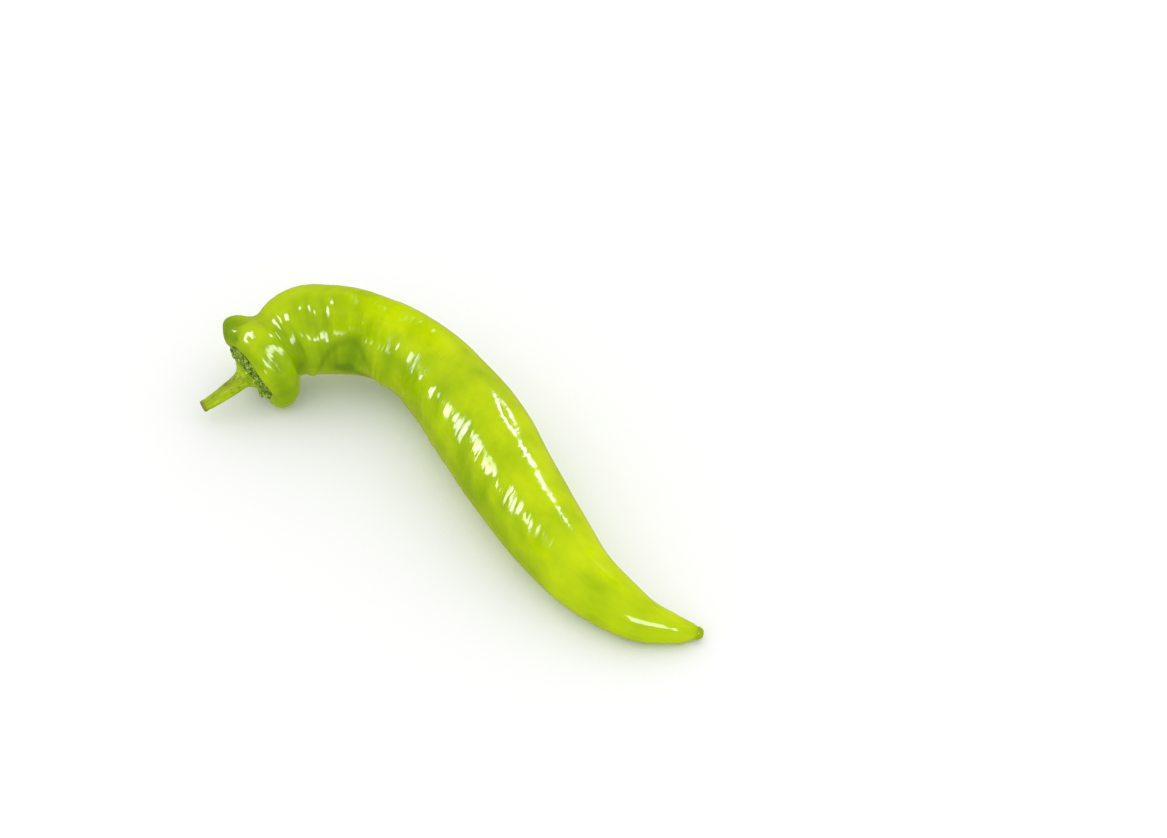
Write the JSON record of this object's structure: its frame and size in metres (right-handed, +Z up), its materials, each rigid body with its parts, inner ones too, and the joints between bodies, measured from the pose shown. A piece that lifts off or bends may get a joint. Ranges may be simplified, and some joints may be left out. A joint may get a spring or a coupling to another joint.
{
  "type": "chilli pepper",
  "caption": "Long green horn chilli pepper with a lobed shoulder, a bent neck and a tapering pod, lying on its side with its calyx and cut stem.",
  "frame": {"origin": "on the resting surface, under the middle of the bounding box", "axes": "+Z up from the resting surface, +X along the length towards the tip, +Y towards the outer side of the bent neck"},
  "size_m": [0.2235, 0.0831, 0.0405],
  "materials": {
    "pod_skin": "waxy and glossy, with fine wrinkles",
    "calyx_skin": "matte, veined",
    "stem_skin": "matte, ribbed, with a dry cut end"
  },
  "bodies": {
    "root": {"pod": "pod_skin", "calyx": "calyx_skin", "stem": "stem_skin"}
  },
  "joints": []
}
